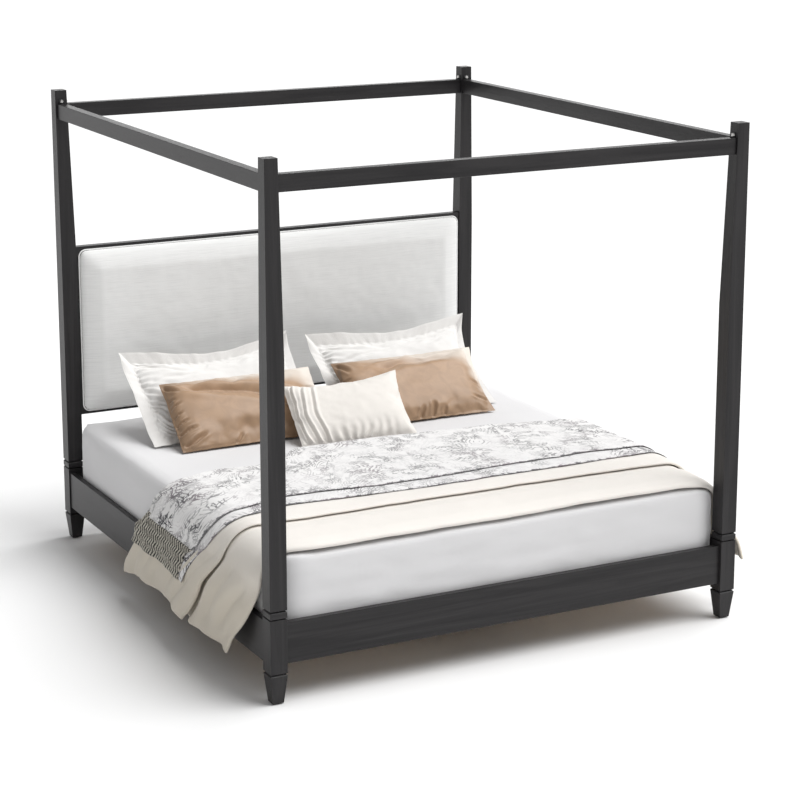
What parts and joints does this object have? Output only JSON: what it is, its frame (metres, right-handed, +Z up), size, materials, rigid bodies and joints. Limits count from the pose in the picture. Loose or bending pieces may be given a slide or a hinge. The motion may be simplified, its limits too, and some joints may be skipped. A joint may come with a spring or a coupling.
{
  "type": "four poster canopy bed",
  "caption": "Black wooden four poster bed with an open rectangular canopy, tapered square posts, an upholstered panel headboard, slatted deck, mattress, duvet, throw and pillows.",
  "frame": {"origin": "on the floor, under the middle of the bed", "axes": "+Z up, -Y towards the foot end, +Y towards the headboard, +X to the right as seen from the foot end"},
  "size_m": [2.134, 2.25, 2.01],
  "materials": {
    "black_wood": "black stained and satin lacquered wood with a faint open grain",
    "slat_wood": "planed pale pine, unfinished",
    "plywood": "sanded plywood",
    "zinc_steel": "bright zinc plated",
    "bright_steel": "bright nickel plated",
    "black_steel": "satin black powder coat",
    "glide_plastic": "matt dark grey nylon",
    "headboard_linen": "light grey linen weave with long slubs across it",
    "headboard_piping": "off-white piping cord cover",
    "sheet_cotton": "smooth white fitted sheet with a cool cast",
    "duvet_cotton": "warm white washed cotton",
    "throw_print": "white woven throw with a grey line pattern of leaves and flowers",
    "throw_knit": "dark grey-green knitted band with a zigzag rib",
    "sham_cotton": "white washed cotton",
    "brown_satin": "light brown satin with a soft sheen",
    "cream_cotton": "cream cotton with pin tucks"
  },
  "bodies": {
    "frame": {"post_front_left": "black_wood", "post_front_right": "black_wood", "post_rear_left": "black_wood", "post_rear_right": "black_wood", "collar_front_left": "black_wood", "collar_front_right": "black_wood", "collar_rear_left": "black_wood", "collar_rear_right": "black_wood", "leg_block_front_left": "black_wood", "leg_block_front_right": "black_wood", "leg_block_rear_left": "black_wood", "leg_block_rear_right": "black_wood", "foot_front_left": "black_wood", "foot_front_right": "black_wood", "foot_rear_left": "black_wood", "foot_rear_right": "black_wood", "foot_glides": "glide_plastic", "leg_studs": "zinc_steel", "post_studs": "zinc_steel", "side_rail_left": "black_wood", "side_rail_right": "black_wood", "foot_rail": "black_wood", "head_rail": "black_wood", "rail_brackets": "black_steel", "rail_bolts": "zinc_steel", "rail_screws": "zinc_steel", "cleat_left": "slat_wood", "cleat_right": "slat_wood", "cleat_screws": "zinc_steel", "slats": "slat_wood", "centre_beam": "black_wood", "beam_hangers": "black_steel", "centre_leg_front": "black_wood", "centre_leg_rear": "black_wood", "canopy_rail_left": "black_wood", "canopy_rail_right": "black_wood", "canopy_rail_foot": "black_wood", "canopy_rail_head": "black_wood", "canopy_plates": "black_steel", "canopy_bolts": "bright_steel", "headboard_top_rail": "black_wood", "headboard_bottom_rail": "black_wood", "headboard_stile_left": "black_wood", "headboard_stile_right": "black_wood", "headboard_back_panel": "black_wood", "headboard_pad_board": "plywood", "headboard_pad": "headboard_linen", "headboard_piping": "headboard_piping", "headboard_bolts": "zinc_steel"},
    "mattress_set": {"mattress": "sheet_cotton", "duvet": "duvet_cotton", "throw": "throw_print", "throw_bands": "throw_knit", "sham_left": "sham_cotton", "sham_right": "sham_cotton", "satin_pillow_left": "brown_satin", "satin_pillow_right": "brown_satin", "lumbar_pillow": "cream_cotton"},
    "front_leveller": {"leveller_front": "zinc_steel"},
    "rear_leveller": {"leveller_rear": "zinc_steel"}
  },
  "joints": [
    {"name": "mattress_lift", "type": "slide", "parent": "frame", "child": "mattress_set", "axis": [0, 0, 1], "range_m": [0, 0.35]},
    {"name": "leveller_front_screw", "type": "slide", "parent": "frame", "child": "front_leveller", "axis": [0, 0, 1], "range_m": [-0.008, 0.012]},
    {"name": "leveller_rear_screw", "type": "slide", "parent": "frame", "child": "rear_leveller", "axis": [0, 0, 1], "range_m": [-0.008, 0.012]}
  ]
}
